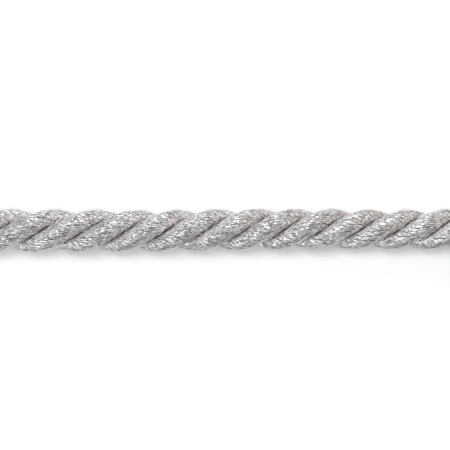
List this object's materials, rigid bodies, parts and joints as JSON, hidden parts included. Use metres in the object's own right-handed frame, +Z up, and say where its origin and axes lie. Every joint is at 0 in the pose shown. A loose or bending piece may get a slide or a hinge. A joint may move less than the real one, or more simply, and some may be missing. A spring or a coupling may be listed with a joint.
{
  "type": "twisted cord trim",
  "caption": "Cut length of round twisted cord trim, plied from fat strands of fine silver-grey metallic yarn, lying straight on a flat surface.",
  "frame": {"origin": "on the surface the cord lies on, under the middle of its length and of its width", "axes": "+X along the cord, +Z up from the surface; seen from above the strands climb towards +Y as they run along +X"},
  "size_m": [0.12, 0.01, 0.0095],
  "materials": {
    "silver_yarn": "fine plied yarn wrapped with flat metallic film, soft satin sheen with small bright glints"
  },
  "bodies": {
    "root": {"strand_1": "silver_yarn", "strand_2": "silver_yarn", "strand_3": "silver_yarn"}
  },
  "joints": []
}
